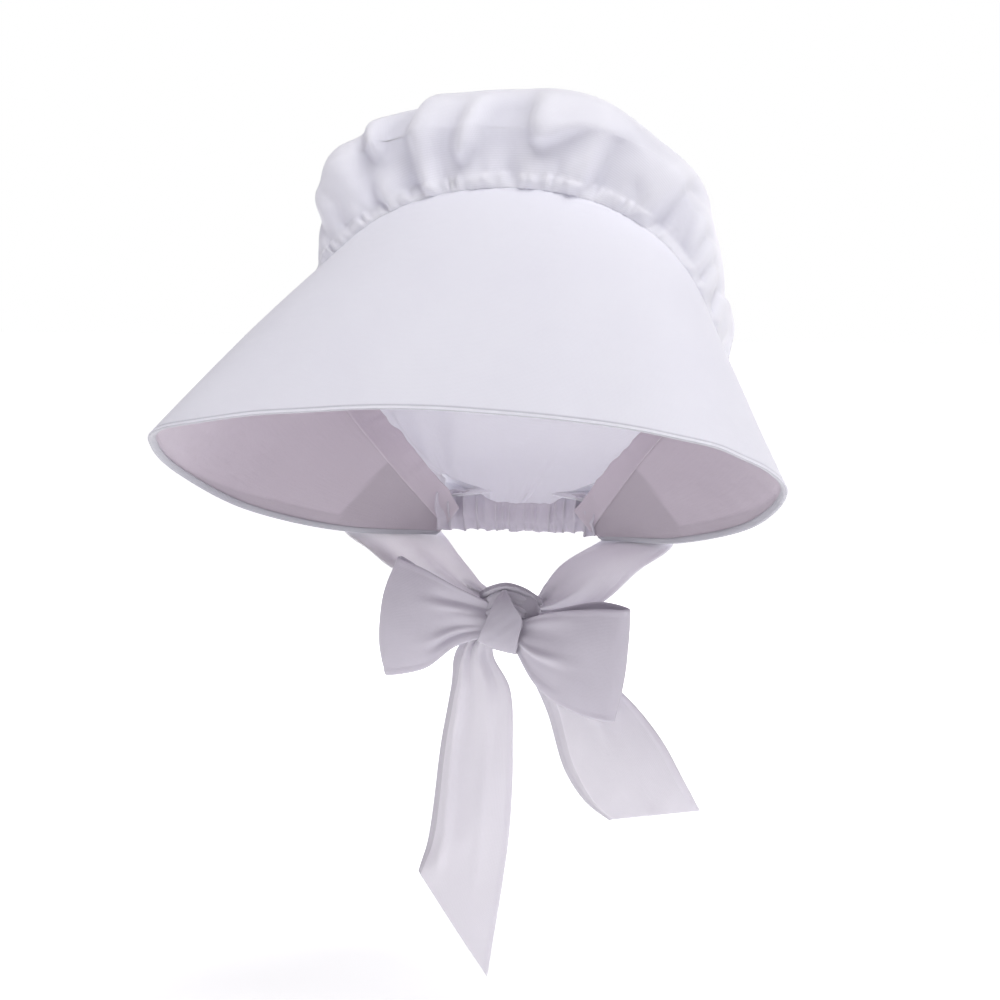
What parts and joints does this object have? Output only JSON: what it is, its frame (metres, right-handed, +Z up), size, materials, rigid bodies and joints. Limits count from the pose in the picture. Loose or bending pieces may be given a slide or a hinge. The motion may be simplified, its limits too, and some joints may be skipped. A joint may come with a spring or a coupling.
{
  "type": "prairie bonnet",
  "caption": "Cotton prairie bonnet: a deep stiff brim that shades the face, a gathered crown, an elastic nape casing and ribbon ties knotted in a bow below the chin.",
  "frame": {"origin": "where the middle of the seam between brim and crown rests on top of the wearer's head", "axes": "+Z up through the head, -Y the way the face looks, +X the wearer's left"},
  "size_m": [0.3194, 0.2493, 0.4439],
  "materials": {
    "cotton": "matte white cotton, plain weave",
    "lining": "matte white cotton, plain weave",
    "ribbon": "soft white cotton strip with narrow hems"
  },
  "bodies": {
    "root": {"brim": "cotton", "brim_lining": "lining", "crown": "cotton", "seam_binding": "lining", "nape_casing": "lining", "bow_knot": "ribbon", "tie_right": "ribbon", "tie_left": "ribbon", "bow_loop_right": "ribbon", "bow_loop_left": "ribbon", "tail_right": "ribbon", "tail_left": "ribbon"}
  },
  "joints": []
}
